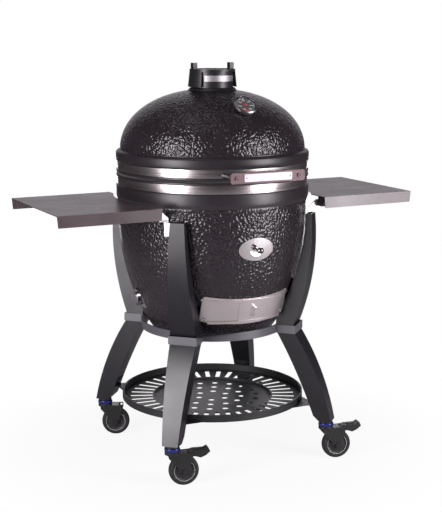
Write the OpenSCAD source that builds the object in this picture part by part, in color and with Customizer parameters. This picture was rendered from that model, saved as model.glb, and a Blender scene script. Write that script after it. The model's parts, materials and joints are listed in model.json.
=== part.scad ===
// Kamado ceramic grill on a wheeled cart with two folding side shelves.
// Origin on the floor under the axis of the kettle, +Z up, front towards -Y.

/* [Kettle] */
// Largest radius of the two ceramic rims
rim_r = 330; // [296:1:364]
// Radius of the base at its widest
base_r = 326; // [285:1:366]
// Height of the widest section of the base
base_mid_z = 870; // [850:1:890]
// Depth of the ellipse that the base follows below its widest section
base_depth = 550; // [495:1:605]
// Height of the flat bottom of the kettle
kettle_bottom_z = 434; // [428:1:446]
// Thickness of the ceramic wall
ceramic_wall = 24; // [20:1:28]
// Height of the seam between dome and base
seam_z = 988; // [980:1:1000]
// Radius of the dome
dome_r = 316; // [284:1:348]
// Height of the widest section of the dome
dome_mid_z = 1060; // [1056:1:1070]
// Rise of the dome above its widest section
dome_rise = 208; // [195:1:220]
// Fullness of the dome, 2 is an ellipse
dome_power = 2.15; // [2:0.05:2.4]

/* [Bands and gaskets] */
// Height of each steel band
band_h = 28; // [22:1:30]
// Thickness of each steel band
band_t = 2; // [1.5:0.5:3]
// Distance from the seam to the edge of each band
band_off = 11.5; // [10:0.5:14]
// Thickness of each felt gasket
gasket_t = 3; // [2:0.5:5]
// Width of each felt gasket
gasket_w = 22; // [14:1:26]

/* [Fire] */
// Gap between the kettle wall and the fire parts
fire_gap = 16; // [10:1:20]
// Wall of the fire box and the fire ring
fire_wall = 18; // [14:1:22]
// Height of the joint between fire box and fire ring
fire_ring_z = 690; // [670:1:705]
// Height of the charcoal grate
charcoal_z = 585; // [575:1:600]
// Height of the cooking grate
grate_z = 945; // [930:1:955]
// Spacing of the bars of the cooking grate
grate_pitch = 26; // [20:1:34]

/* [Draft and ports] */
// Width of the draft plate
draft_w = 314; // [290:1:320]
// Height of the draft plate along its slope
draft_h = 94; // [88:1:100]
// Height of the middle of the draft plate
draft_z = 551; // [548:1:556]
// Lean of the draft plate from the vertical
draft_lean = 16; // [12:1:20]
// Stand-off of the draft plate's upper edge from the kettle
draft_off = 5; // [4:0.2:12]
// Height of the draft door
door_h = 72; // [60:1:76]
// Height of the draft window behind the door
window_h = 42; // [30:1:50]
// Left end of the draft door, from the front
door_from = -8.5; // [-10:0.5:-6]
// Right end of the draft door, from the front
door_to = 29.5; // [27:0.5:30]
// Height of the feed port
feed_z = 765; // [750:1:780]
// Width of the feed cover
feed_w = 126; // [110:1:140]
// Height of the feed cover
feed_h = 76; // [66:1:84]
// Radius of the feed plug
feed_plug_r = 23; // [18:1:26]
// Height of the side port
port_z = 566; // [560:1:580]
// Radius of the side port plug
port_r = 16; // [12:1:19]

/* [Vent] */
// Radius of the vent drum
drum_r = 71; // [68:1:74]
// Height of the vent drum above its seat
drum_h = 63.4; // [58:0.2:70]
// Radius of the smoke bore
smoke_r = 52; // [44:1:54]
// Thickness of the turning cap's top
cap_t = 8; // [6:1:12]
// Height of the two lugs on the cap
lug_h = 21; // [14:1:26]

/* [Thermometer] */
// Radius of the thermometer bezel
bezel_r = 40; // [36:1:44]
// Stand-off of the dial from the dome, along its own axis
dial_y = 24; // [19:1:29]
// Height of the thermometer's seat above the widest section of the dome
dial_z = 151.6; // [149.6:0.2:157.6]
// Tilt of the dial's axis above the horizon
dial_tilt = 50; // [46:1:54]

/* [Handle and hinge] */
// Length of the handle bar
handle_l = 268; // [230:2:290]
// Height of the handle bar
handle_h = 35; // [28:1:38]
// Thickness of the handle bar
handle_t = 8; // [6:1:12]
// Distance of the handle's front ahead of the rim
handle_y = 65; // [50:1:75]
// Width of the label plate on the handle
label_w = 172; // [120:2:180]
// Height of the label plate on the handle
label_h = 25; // [16:1:28]
// Distance of the hinge pin behind the rim
hinge_y = 49.5; // [44:0.5:56]
// Height of the hinge pin
hinge_z = 984; // [980:1:988]
// Radius of the hinge pin
hinge_pin_r = 6; // [5:0.5:7]
// Radius of the spring housing on the hinge pin
spring_case_r = 19; // [16:0.5:20]

/* [Cart] */
// Sheet thickness of arms, legs and collars
sheet_t = 3; // [2:0.5:4]
// Height of the top of the arms
arm_top_z = 858; // [850:1:862]
// Gap between an arm's top and the kettle
arm_gap_top = 13; // [12:1:18]
// Gap between the arms' hugging part and the kettle
arm_gap_mid = 6; // [5:1:9]
// Depth of an arm at its top
arm_depth_top = 20; // [18:1:28]
// Depth of an arm half way up
arm_depth_mid = 39; // [34:1:48]
// Depth of an arm at its foot
arm_depth_low = 70; // [62:1:80]
// Width of an arm at its top
arm_w_top = 49; // [44:1:54]
// Width of arm and leg where they meet
waist_w = 92; // [84:1:100]
// Height of the collar that joins arm and leg
waist_z = 460; // [454:1:464]
// Tilt of the collar
waist_tilt = 0; // [0:1:6]
// Height of the collar
collar_h = 28; // [26:1:36]
// Height of the ring belt
ring_h = 28; // [24:1:36]
// Spread of a leg at half its length
leg_spread_mid = 88; // [78:1:96]
// Spread of a leg at its foot
leg_spread_foot = 137; // [126:1:146]
// Depth of a leg at half its length
leg_depth_mid = 68; // [60:1:76]
// Depth of a leg at its foot
leg_depth_foot = 57; // [50:1:62]
// Width of a leg at its foot
foot_w = 54; // [50:1:58]

/* [Bottom tray] */
// Radius of the tray
tray_r = 318; // [286:1:350]
// Height of the tray's rim
tray_z = 214; // [206:1:222]
// Depth of the tray's rim
tray_rim = 23; // [14:1:26]
// Number of radial slots
tray_slots = 40; // [32:4:44]
// Width of a slot
tray_slot_w = 16; // [10:1:18]

/* [Side shelves] */
// Height of the shelf tops
shelf_z = 908; // [904:1:914]
// Distance of the outer shelf edges from the axis
shelf_x = 653; // [600:1:700]
// Overhang of the shelves' inner edges past the hinge
shelf_in = 14; // [10:1:18]
// Front edge of the shelves, ahead of the front brackets
shelf_front = 45.4; // [40.4:0.2:52.4]
// Gap between the back edge of the shelves and the rear brackets
shelf_back = 0.6; // [0.6:0.2:5.6]
// Height of the folded shelf lips
shelf_lip = 38; // [30:1:42]
// Gap between the shelf edge and the rim
shelf_gap = 10; // [8:1:16]
// Distance of the shelf hinge outwards from the arms' tops
fold_x = 74.9; // [73.9:0.1:78.9]
// Height of the shelf hinge
fold_z = 883; // [880:1:886]

/* [Casters] */
// Radius of the wheels
wheel_r = 50; // [44:1:54]
// Width of the tyres
wheel_w = 32; // [26:1:36]
// Distance of the wheel axle behind the swivel
trail = 38; // [32:1:42]
// Direction in which the front casters trail at rest
caster_yaw = -12; // [-40:1:0]
// Direction in which the rear casters trail at rest
rear_yaw = -26; // [-40:1:0]

/* [Hidden] */
$fn = 96;
profile_steps = 20;
// Length that reaches past every piece from the axis
past = 3 * rim_r;
// Clearance of pieces that are set against each other
seat = 0.2;
// Clearance of a running fit
run = 0.05;
// Clearance between pieces that move past each other
slip = 0.5;
// Overlap that joins the shapes of one piece
weld = 1;
screw_r = 3;
screw_head_r = 6.5;
screw_head_h = 3.5;
socket_r = 3.4;
socket_h = 2;
corners = ["front_left", "front_right", "rear_right", "rear_left"];
corner_az = [225, 315, 45, 135];

groove_depth = 6;
lip_step = 1;
groove_r = rim_r - groove_depth;
lip_r = rim_r - lip_step;
// Widths of the ceramic edges at the seam
base_lip_w = 28;
dome_lip_w = 38;
base_edge_r = rim_r - base_lip_w;
dome_edge_r = rim_r - dome_lip_w;
bar_y = rim_r + handle_y;
pin_y = rim_r + hinge_y;
band_r = groove_r + band_t;
base_top_z = seam_z - gasket_t - seat;
dome_bottom_z = seam_z + gasket_t + seat;
low_band_z = seam_z - band_off - band_h;
up_band_z = seam_z + band_off;
base_in_r = base_r - ceramic_wall;
base_in_depth = base_depth - ceramic_wall;
floor_z = kettle_bottom_z + ceramic_wall;
rim_roll = 10;
base_rim_h = 40;
dome_rim_h = 34;
seat_r = 84;

// Outer radius of the base at height z
function base_face(z) =
    base_r * sqrt(1 - pow(max(0, base_mid_z - z) / base_depth, 2));
// Inner radius of the base at height z
function base_wall(z) =
    z > base_mid_z
        ? base_in_r + (base_edge_r - base_in_r) * (z - base_mid_z) / (base_top_z - base_mid_z)
        : base_in_r * sqrt(1 - pow((base_mid_z - z) / base_in_depth, 2));
// Point of the dome's curve at angle a, shrunk by the given wall
function dome_point(a, wall) = [
    (dome_r - wall) * pow(cos(a), 2 / dome_power),
    dome_mid_z + (dome_rise - wall) * pow(sin(a), 2 / dome_power)
];
// Angle at which the dome's curve reaches radius r
function dome_angle(r, wall) = acos(pow(r / (dome_r - wall), dome_power / 2));

vent_seat_z = dome_point(dome_angle(seat_r, 0), 0)[1];
drum_top_z = vent_seat_z + drum_h;
cap_z = drum_top_z + 0.3;
drum_wall = 11;
drum_in_r = drum_r - drum_wall;

// Circle through three points, as centre x, centre y and radius
function circle_through(a, b, c) =
    let (
        d = 2 * (a.x * (b.y - c.y) + b.x * (c.y - a.y) + c.x * (a.y - b.y)),
        aa = a * a,
        bb = b * b,
        cc = c * c,
        ux = (aa * (b.y - c.y) + bb * (c.y - a.y) + cc * (a.y - b.y)) / d,
        uy = (aa * (c.x - b.x) + bb * (a.x - c.x) + cc * (b.x - a.x)) / d
    ) [ux, uy, norm(a - [ux, uy])];
// Radius from the kettle's axis of such a circle at height z
function arc_at(k, z) = k[0] + sqrt(k[2] * k[2] - pow(z - k[1], 2));
// Lean of such a circle from the vertical at height z
function arc_lean(k, z) = asin((k[1] - z) / k[2]);

arm_mid_z = 592;
arm_low_z = 500;
arm_gap_low = 3;
arm_in = circle_through(
    [base_face(arm_top_z) + arm_gap_top, arm_top_z],
    [base_face(arm_mid_z) + arm_gap_mid, arm_mid_z],
    [base_face(arm_low_z) + arm_gap_low, arm_low_z]
);
arm_bow_z = 690;
arm_out = circle_through(
    [arc_at(arm_in, arm_top_z) + arm_depth_top, arm_top_z],
    [arc_at(arm_in, arm_bow_z) + arm_depth_mid, arm_bow_z],
    [arc_at(arm_in, arm_low_z) + arm_depth_low, arm_low_z]
);
waist_in = arc_at(arm_in, arm_low_z);
waist_out = arc_at(arm_out, waist_z + collar_h);
waist_mid = (waist_in + waist_out) / 2;
collar_t = sheet_t;
tang_t = 3;
tang_drop = 25;
tang_z = arm_top_z - tang_drop;
tang_lean = arc_lean(arm_in, tang_z);
// Distance of an arm's top from the axis, along X and along Y
arm_xy = arc_at(arm_in, tang_z) / sqrt(2);
collar_out = waist_out + slip + collar_t;
collar_in = waist_in - slip - collar_t;
collar_half = waist_w / 2 + slip + collar_t;
// Height of the joint between arm and leg at radius r
function waist_at(r) = waist_z + (r - waist_mid) * tan(waist_tilt);

crown_z = 2 * wheel_r + 7;
crown_h = 10.5;
race_z = crown_z + crown_h + slip;
race_h = 12;
flange_h = 8;
foot_z = race_z + race_h + flange_h;
leg_mid_z = 297;
leg_tuck = 9;
leg_top_out = waist_out - leg_tuck;
leg_top_z = waist_at(waist_out);
leg_top_depth = 60;
leg_out = circle_through(
    [leg_top_out, leg_top_z],
    [leg_top_out + leg_spread_mid, leg_mid_z],
    [leg_top_out + leg_spread_foot, foot_z]
);
leg_in = circle_through(
    [leg_top_out - leg_top_depth, leg_top_z],
    [leg_top_out + leg_spread_mid - leg_depth_mid, leg_mid_z],
    [leg_top_out + leg_spread_foot - leg_depth_foot, foot_z]
);
foot_out = leg_top_out + leg_spread_foot;
foot_cut = 13;
foot_floor = 5;
foot_r = foot_out - (leg_depth_foot - foot_cut) / 2 - 2;

ring_r = waist_in + 6;
ring_t = 5;
ring_z = waist_at(waist_in) - ring_h / 2;

draft_tilt = 90 + draft_lean;
draft_t = 2.5;
draft_top = draft_h / 2 * cos(draft_lean);
draft_r = base_face(draft_z + draft_top) + draft_off - draft_top * tan(draft_lean);
door_t = 1.5;
rail_h = 4.5;
rail_lip = 3;
// Outer radius of the draft plate at height z
function plate_at(z) = draft_r + (z - draft_z) * tan(draft_lean);
window_from = door_from + 3;
window_to = door_to - 3;
draft_screw_a = asin((draft_w / 2 - 9) / draft_r);
rail_a = draft_screw_a - 2.2;
draft_screw_up = draft_h / 2 - 11;
draft_rise = 10;

fold_half = 15;
pivot_x = arm_xy + fold_x;
fold_in = pivot_x - fold_half;
fold_out = pivot_x + fold_half;
sheet_z = shelf_z - 2.5;
fold_pin_r = 4;
ear_t = 4;
ear_in = 35.5;
ear_y = arm_xy - ear_in;
block_l = 20;
block_front = ear_y + ear_t + slip + block_l;
edge_in = pivot_x - shelf_in;
edge_front = ear_y + shelf_front;
edge_back = ear_y - shelf_back;
block_back = edge_back - 25;

// Shared shapes

// Points of a rectangle with rounded corners, centred
function round_rect(w, h, r, steps = 4) = [
    for (q = [0:3], i = [0:steps])
        let (
            a = 90 * q + 90 * i / steps,
            sx = (q == 0 || q == 3) ? 1 : -1,
            sy = (q < 2) ? 1 : -1
        ) [sx * (w / 2 - r) + r * cos(a), sy * (h / 2 - r) + r * sin(a)]
];
// Points of an ellipse of the given width and height
function oval(w, h, steps = 40) = [
    for (i = [0:steps - 1]) [w / 2 * cos(360 * i / steps), h / 2 * sin(360 * i / steps)]
];
// Solid of revolution from a profile of radius and height
module turned(points) {
    rotate_extrude() polygon(points);
}
// Wedge about the axis between two angles from the front
module wedge(from, to, z0, z1, r = past) {
    steps = 4;
    translate([0, 0, z0]) linear_extrude(z1 - z0) polygon(concat(
        [[0, 0]],
        [for (i = [0:steps]) let (a = from + (to - from) * i / steps) [r * sin(a), -r * cos(a)]]
    ));
}
// Profile of radius and height given a thickness across the leg's plane
module across(w) {
    rotate([90, 0, 0]) linear_extrude(height = w, center = true) children();
}
// Outline of width and height given a depth outwards from radius r0
module along(r0, r1) {
    translate([r0, 0, 0]) rotate([90, 0, 90]) linear_extrude(r1 - r0) children();
}
module at_corner(i) {
    rotate([0, 0, corner_az[i]]) children();
}
// Disc of one of the leg circles, grown by g
module arc_disc(k, g = 0) {
    translate([k[0], k[1]]) circle(k[2] + g, $fn = 720);
}
// Button-head screw with its head above z = 0
module screw(len) {
    difference() {
        cylinder(r = screw_head_r, h = screw_head_h);
        translate([0, 0, screw_head_h - socket_h]) cylinder(r = socket_r, h = screw_head_h, $fn = 6);
    }
    translate([0, 0, -len]) cylinder(r = screw_r, h = len + weld);
}
module screw_hole(len) {
    translate([0, 0, -len]) cylinder(r = screw_r + seat, h = 2 * len);
}

// Outline of the base from its bottom to its rim, grown by g
function base_outline(g) =
    let (
        low = kettle_bottom_z + rim_roll,
        a_end = asin((base_mid_z - low) / base_depth)
    ) concat(
        [[base_face(low) - 2.4 * rim_roll + g, kettle_bottom_z - g]],
        [
            for (i = [0:profile_steps])
                let (a = a_end * (1 - i / profile_steps))
                    [base_r * cos(a) + g, base_mid_z - base_depth * sin(a)]
        ]
    );
// Kettle body below its rim as a full solid, grown by g
module kettle_core(g) {
    line = base_outline(g);
    turned(concat([[0, line[0].y]], line, [[0, base_mid_z]]));
}

// Ceramic base, fire parts and grates

module base_shell() {
    rim_low = low_band_z - base_rim_h;
    floor_a = asin((base_mid_z - floor_z) / base_in_depth);
    color([0.2, 0.2, 0.21]) difference() {
        turned(concat(
            [[0, kettle_bottom_z]],
            base_outline(0),
            [
                [base_r, rim_low - rim_roll],
                [rim_r - 1, rim_low - 2],
                [rim_r, rim_low + 4],
                [rim_r, low_band_z - 4],
                [rim_r - 2, low_band_z],
                [groove_r, low_band_z],
                [groove_r, low_band_z + band_h],
                [lip_r, low_band_z + band_h],
                [lip_r, base_top_z],
                [base_edge_r, base_top_z]
            ],
            [
                for (i = [0:profile_steps])
                    let (a = floor_a * i / profile_steps)
                        [base_in_r * cos(a), base_mid_z - base_in_depth * sin(a)]
            ],
            [[0, floor_z]]
        ));
        wedge(window_from, window_to, draft_z - window_h / 2, draft_z + window_h / 2);
        feed_axis() cylinder(r = feed_plug_r + slip, h = rim_r);
        port_axis() cylinder(r = port_r + slip, h = rim_r);
        hinge_screw_places(low_band_z) screw_hole(band_t + 8);
        draft_screw_places() screw_hole(draft_t + 6);
    }
}

module lower_band() {
    color([0.72, 0.7, 0.68]) difference() {
        band(low_band_z);
        hinge_screw_places(low_band_z) screw_hole(band_t + 8);
    }
}
module band(z) {
    translate([0, 0, z + seat]) difference() {
        cylinder(r = band_r, h = band_h - 2 * seat);
        translate([0, 0, -weld]) cylinder(r = groove_r + seat / 2, h = band_h + 2 * weld);
    }
}
module gasket(z) {
    translate([0, 0, z]) difference() {
        cylinder(r = lip_r - 3, h = gasket_t);
        translate([0, 0, -weld]) cylinder(r = lip_r - 3 - gasket_w, h = gasket_t + 2 * weld);
    }
}
module lower_gasket() {
    color([0.12, 0.12, 0.12]) gasket(base_top_z);
}

// Heights at which the fire parts follow the kettle wall
function fire_line(z0, z1, in, steps = 5) = [
    for (i = [0:steps]) let (z = z0 + (z1 - z0) * i / steps) [base_wall(z) - in, z]
];
module fire_box() {
    ash_z = floor_z + fire_wall;
    low_z = floor_z + 8;
    color([0.55, 0.47, 0.4]) difference() {
        turned(concat(
            [[0, floor_z], [base_wall(floor_z) - fire_gap - 6, floor_z]],
            fire_line(low_z, fire_ring_z, fire_gap),
            [for (p = [5:-1:0]) fire_line(charcoal_z, fire_ring_z, fire_gap + fire_wall)[p]],
            [
                [base_wall(charcoal_z) - fire_gap - fire_wall - 14, charcoal_z],
                [base_wall(ash_z) - fire_gap - fire_wall, ash_z],
                [0, ash_z]
            ]
        ));
        wedge(window_from, window_to, draft_z - window_h / 2 - 6, draft_z + window_h / 2 - 10);
    }
}
module fire_ring() {
    outer = fire_line(fire_ring_z + seat, grate_z, fire_gap, 6);
    inner = fire_line(fire_ring_z + seat, grate_z, fire_gap + fire_wall, 6);
    color([0.55, 0.47, 0.4]) difference() {
        turned(concat(outer, [for (i = [6:-1:0]) inner[i]]));
        feed_axis() cylinder(r = feed_plug_r + 3, h = rim_r);
    }
}
module charcoal_grate() {
    grate_r = base_wall(charcoal_z) - fire_gap - fire_wall - 3;
    color([0.16, 0.15, 0.15]) translate([0, 0, charcoal_z]) difference() {
        cylinder(r = grate_r, h = 9);
        for (x = [-4:4]) {
            slot_l = 2 * (sqrt(grate_r * grate_r - pow(x * 30, 2)) - 18);
            translate([x * 30 - 6, -slot_l / 2, -weld]) cube([12, slot_l, 9 + 2 * weld]);
        }
    }
}
module cooking_grate() {
    hoop = 8;
    grate_r = base_wall(grate_z) - fire_gap - 4;
    bars = floor((grate_r - hoop) / grate_pitch);
    color([0.75, 0.75, 0.74]) translate([0, 0, grate_z + seat]) {
        difference() {
            cylinder(r = grate_r, h = hoop);
            translate([0, 0, -weld]) cylinder(r = grate_r - hoop, h = hoop + 2 * weld);
        }
        for (i = [-bars:bars]) {
            half = sqrt(pow(grate_r - hoop / 2, 2) - pow(i * grate_pitch, 2));
            translate([i * grate_pitch - 2.5, -half, 2]) cube([5, 2 * half, hoop - 3]);
        }
        for (s = [-1, 1]) {
            half = sqrt(pow(grate_r - hoop / 2, 2) - pow(s * grate_r / 2, 2));
            translate([-half, s * grate_r / 2 - 2.5, 0.5]) cube([2 * half, 5, 3]);
        }
    }
}

// Draft plate, door, feed port and side port

module draft_plane() {
    translate([0, -draft_r, draft_z]) rotate([draft_tilt, 0, 0]) children();
}
// Block square to the draft plate, reaching from the kettle to past the plate
module draft_block(w, h, r) {
    draft_plane() translate([0, 0, -110]) linear_extrude(140) polygon(round_rect(w, h, r));
}
// Cone of the draft plate's outer face, grown by g, as a full solid
module draft_cone(g) {
    low = draft_z - 80;
    high = draft_z + 80;
    turned([[0, low], [plate_at(low) + g, low], [plate_at(high) + g, high], [0, high]]);
}
module draft_screw_places() {
    for (a = [-1, 1], u = [-1, 1]) {
        z = draft_z + draft_rise + u * draft_screw_up;
        rotate([0, 0, a * draft_screw_a])
            translate([0, -plate_at(z), z]) rotate([draft_tilt, 0, 0]) children();
    }
}
// Rail that holds one edge of the door, up is 1 for the top edge
module door_rail(up) {
    edge = draft_z + up * (door_h / 2 + slip);
    back = edge + up * rail_h;
    lip = edge - up * rail_lip;
    g = door_t + 2 * slip;
    points = [
        [plate_at(back) - weld, back],
        [plate_at(back) + g + 1.5, back],
        [plate_at(lip) + g + 1.5, lip],
        [plate_at(lip) + g, lip],
        [plate_at(edge) + g, edge],
        [plate_at(edge) - weld, edge]
    ];
    intersection() {
        turned(up > 0 ? [for (i = [5:-1:0]) points[i]] : points);
        wedge(-rail_a, rail_a, draft_z - 60, draft_z + 60);
    }
}
module draft_frame() {
    color([0.7, 0.66, 0.64]) difference() {
        union() {
            difference() {
                intersection() {
                    draft_cone(0);
                    draft_block(draft_w, draft_h, 9);
                }
                draft_cone(-draft_t);
            }
            difference() {
                intersection() {
                    draft_cone(-draft_t / 2);
                    draft_block(draft_w - 8, draft_h - 8, 6);
                }
                draft_block(draft_w - 14, draft_h - 14, 4);
                kettle_core(seat);
            }
            door_rail(1);
            door_rail(-1);
        }
        wedge(window_from, window_to, draft_z - window_h / 2, draft_z + window_h / 2);
        draft_screw_places() screw_hole(12);
        for (i = [0:1]) at_corner(i) arm_taper(-slip);
    }
}
module draft_door() {
    tab_a = 3;
    tab = [7, 13, 34];
    color([0.72, 0.69, 0.67]) {
        intersection() {
            difference() {
                draft_cone(slip + door_t);
                draft_cone(slip);
            }
            wedge(door_from, door_to, draft_z - door_h / 2, draft_z + door_h / 2);
        }
        rotate([0, 0, tab_a]) translate([0, -plate_at(draft_z) - slip - door_t, draft_z])
            rotate([draft_lean, 0, 0]) translate([-tab.x / 2, -tab.y, -tab.z / 2])
                cube([tab.x, tab.y + weld, tab.z]);
    }
}
module feed_axis() {
    translate([0, 0, feed_z]) rotate([90, 0, 0]) children();
}
module feed_cover() {
    plate_t = 2.5;
    face = base_face(feed_z);
    plug_in = base_wall(feed_z) - 4;
    knob_r = 11;
    knob_y = face + 26;
    color([0.78, 0.76, 0.75]) {
        difference() {
            intersection() {
                kettle_core(slip + plate_t);
                feed_axis() linear_extrude(past) polygon(oval(feed_w, feed_h));
            }
            kettle_core(slip);
        }
        feed_axis() {
            translate([0, 0, plug_in]) cylinder(r = feed_plug_r, h = face + 1.5 - plug_in);
            translate([0, 0, face]) cylinder(r = 5, h = knob_y - face);
            translate([0, 0, knob_y]) sphere(r = knob_r);
        }
    }
}
module port_axis() {
    translate([0, 0, port_z]) rotate([0, -90, 0]) children();
}
port_face = base_face(port_z);
port_out = port_face + 20;
module port_collar() {
    color([0.75, 0.75, 0.76]) difference() {
        union() {
            difference() {
                intersection() {
                    kettle_core(seat + 5);
                    port_axis() linear_extrude(past) polygon(round_rect(62, 56, 8));
                }
                kettle_core(seat);
            }
            difference() {
                port_axis() translate([0, 0, port_face - 30])
                    cylinder(r = port_r + 7, h = port_out - port_face + 30);
                kettle_core(seat);
            }
        }
        port_axis() cylinder(r = port_r + run, h = past);
    }
}
module port_plug() {
    color([0.13, 0.13, 0.14]) port_axis() {
        translate([0, 0, port_face - 6]) cylinder(r = port_r, h = port_out - port_face + 8);
        translate([0, 0, port_out + slip]) cylinder(r = port_r + 4, h = 6);
    }
}

// Hinge

// Places of the hinge screws on the band that starts at height z
module hinge_screw_places(z) {
    for (a = [-9.5, 9.5])
        rotate([0, 0, a]) translate([0, band_r + bracket_t, z + band_h / 2])
            rotate([-90, 0, 0]) children();
}
bracket_t = 4;
bracket_half = 66;
low_cheek_x = 41;
cheek_t = 4;
up_cheek_x = low_cheek_x - cheek_t - 1;
eye_r = 14;
// Curved plate on a band and two cheeks at x reaching back to the pin
module hinge_bracket(z, x, cheek) {
    difference() {
        union() {
            intersection() {
                translate([0, 0, z + 1]) difference() {
                    cylinder(r = band_r + bracket_t, h = band_h - 2);
                    translate([0, 0, -weld]) cylinder(r = band_r + seat / 2, h = band_h + 2 * weld);
                }
                translate([-bracket_half, 0, z]) cube([2 * bracket_half, past, band_h]);
            }
            for (left = [x, -x - cheek_t])
                translate([left, 0, 0]) rotate([90, 0, 90]) linear_extrude(cheek_t) {
                    polygon(cheek);
                    translate([pin_y, hinge_z]) circle(eye_r);
                }
        }
        translate([-bracket_half, pin_y, hinge_z]) rotate([0, 90, 0])
            cylinder(r = hinge_pin_r + run, h = 2 * bracket_half);
        hinge_screw_places(z) screw_hole(12);
    }
}
cheek_y = sqrt(band_r * band_r - pow(low_cheek_x + cheek_t, 2)) + 2;
module hinge_lower_bracket() {
    color([0.7, 0.69, 0.68]) hinge_bracket(low_band_z, low_cheek_x, [
        [cheek_y, low_band_z + 2],
        [cheek_y + 8, low_band_z + 2],
        [pin_y + eye_r - 1, hinge_z - 5],
        [pin_y, hinge_z + eye_r - 1],
        [cheek_y, low_band_z + band_h - 2]
    ]);
}
module hinge_upper_bracket() {
    color([0.7, 0.69, 0.68]) hinge_bracket(up_band_z, up_cheek_x, [
        [cheek_y, up_band_z + 2],
        [pin_y, hinge_z - eye_r + 1],
        [pin_y + eye_r - 1, hinge_z + 5],
        [cheek_y + 10, up_band_z + band_h - 2],
        [cheek_y, up_band_z + band_h - 2]
    ]);
}
module hinge_pin() {
    half = low_cheek_x + cheek_t + seat;
    pin_head_h = 6;
    color([0.6, 0.6, 0.6]) translate([0, pin_y, hinge_z]) rotate([0, 90, 0]) {
        translate([0, 0, -half - 4]) cylinder(r = hinge_pin_r, h = 2 * half + 8);
        for (z = [half, -half - pin_head_h])
            translate([0, 0, z]) cylinder(r = hinge_pin_r + 4, h = pin_head_h);
    }
}
module hinge_spring_case() {
    half = up_cheek_x - slip;
    color([0.16, 0.16, 0.17]) translate([-half, pin_y, hinge_z]) rotate([0, 90, 0]) difference() {
        cylinder(r = spring_case_r, h = 2 * half);
        translate([0, 0, -weld]) cylinder(r = hinge_pin_r + run, h = 2 * half + 2 * weld);
    }
}

// Dome, handle, thermometer and vent

module dome_shell() {
    wall_end = dome_angle(smoke_r, ceramic_wall);
    rim_high = up_band_z + band_h + dome_rim_h;
    outer_end = dome_angle(seat_r, 0);
    first = asin(pow((rim_high + 4 - dome_mid_z) / dome_rise, dome_power / 2));
    color([0.2, 0.2, 0.21]) difference() {
        turned(concat(
            [
                [dome_edge_r, dome_bottom_z],
                [lip_r, dome_bottom_z],
                [lip_r, up_band_z],
                [groove_r, up_band_z],
                [groove_r, up_band_z + band_h],
                [rim_r - 2, up_band_z + band_h],
                [rim_r, up_band_z + band_h + 6],
                [rim_r, rim_high - 6],
                [rim_r - 3, rim_high]
            ],
            [
                for (i = [0:profile_steps])
                    dome_point(first + (outer_end - first) * i / profile_steps, 0)
            ],
            [[smoke_r, vent_seat_z]],
            [
                for (i = [0:profile_steps])
                    dome_point(wall_end * (1 - i / profile_steps), ceramic_wall)
            ]
        ));
        dial_axis() translate([0, 0, -stem_l - 10]) cylinder(r = stem_r + slip, h = stem_l + 10);
        hinge_screw_places(up_band_z) screw_hole(band_t + 8);
        post_places() translate([0, 0, -10]) cylinder(r = screw_r + seat, h = 20);
    }
}
module upper_band() {
    color([0.72, 0.7, 0.68]) difference() {
        band(up_band_z);
        hinge_screw_places(up_band_z) screw_hole(band_t + 8);
        post_places() translate([0, 0, -10]) cylinder(r = screw_r + seat, h = 20);
    }
}
module upper_gasket() {
    color([0.12, 0.12, 0.12]) gasket(dome_bottom_z - gasket_t);
}

handle_z = up_band_z + band_h / 2 - 4;
post_x = handle_l / 2 - 22;
post_r = 9;
// Where the handle's posts meet the upper band, looking out to the front
module post_places() {
    for (s = [-1, 1])
        translate([s * post_x, -sqrt(band_r * band_r - post_x * post_x), handle_z])
            rotate([90, 0, 0]) children();
}
module handle_bar() {
    color([0.72, 0.66, 0.65]) difference() {
        translate([0, -bar_y + handle_t, handle_z]) rotate([90, 0, 0])
            linear_extrude(handle_t) polygon(round_rect(handle_l, handle_h, 8));
        handle_screw_places() screw_hole(handle_t + weld);
    }
}
// Where the handle's screws enter the bar, looking out to the front
module handle_screw_places() {
    for (s = [-1, 1]) translate([s * post_x, -bar_y, handle_z]) rotate([90, 0, 0]) children();
}
module handle_posts() {
    bar_back = bar_y - handle_t - seat;
    post_l = bar_back - sqrt(band_r * band_r - pow(post_x + post_r, 2));
    color([0.14, 0.13, 0.13]) difference() {
        for (s = [-1, 1]) translate([s * post_x, -bar_back, handle_z]) rotate([-90, 0, 0])
            cylinder(r = post_r, h = post_l + post_r);
        cylinder(r = band_r + seat / 2, h = 2 * handle_z);
        handle_screw_places() screw_hole(handle_t + 22);
    }
}
drum_label_a = 48;
drum_label_h = 20;
drum_label_drop = 32;
module label_plates() {
    color([0.9, 0.88, 0.88]) {
        translate([0, -bar_y - seat, handle_z]) rotate([90, 0, 0])
            linear_extrude(1.2) polygon(round_rect(label_w, label_h, 3));
        intersection() {
            translate([0, 0, drum_top_z - drum_label_drop]) difference() {
                cylinder(r = drum_r + 1.6, h = drum_label_h);
                translate([0, 0, -weld]) cylinder(r = drum_r + seat / 2, h = drum_label_h + 2 * weld);
            }
            wedge(-drum_label_a, drum_label_a, 0, 2 * drum_top_z);
        }
    }
}
module lid_screws() {
    color([0.7, 0.7, 0.7]) {
        hinge_screw_places(up_band_z) screw(bracket_t + band_t);
        handle_screw_places() screw(handle_t + 18);
    }
}

stem_r = 4;
stem_l = 110;
case_depth = 18;
dial_seat_r = dome_r * pow(1 - pow(dial_z / dome_rise, dome_power), 1 / dome_power);
dial_at = [
    0,
    -dial_seat_r - dial_y * cos(dial_tilt),
    dome_mid_z + dial_z + dial_y * sin(dial_tilt)
];
module dial_axis() {
    translate(dial_at) rotate([90 - dial_tilt, 0, 0]) children();
}
dome_reach = 40;
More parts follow.
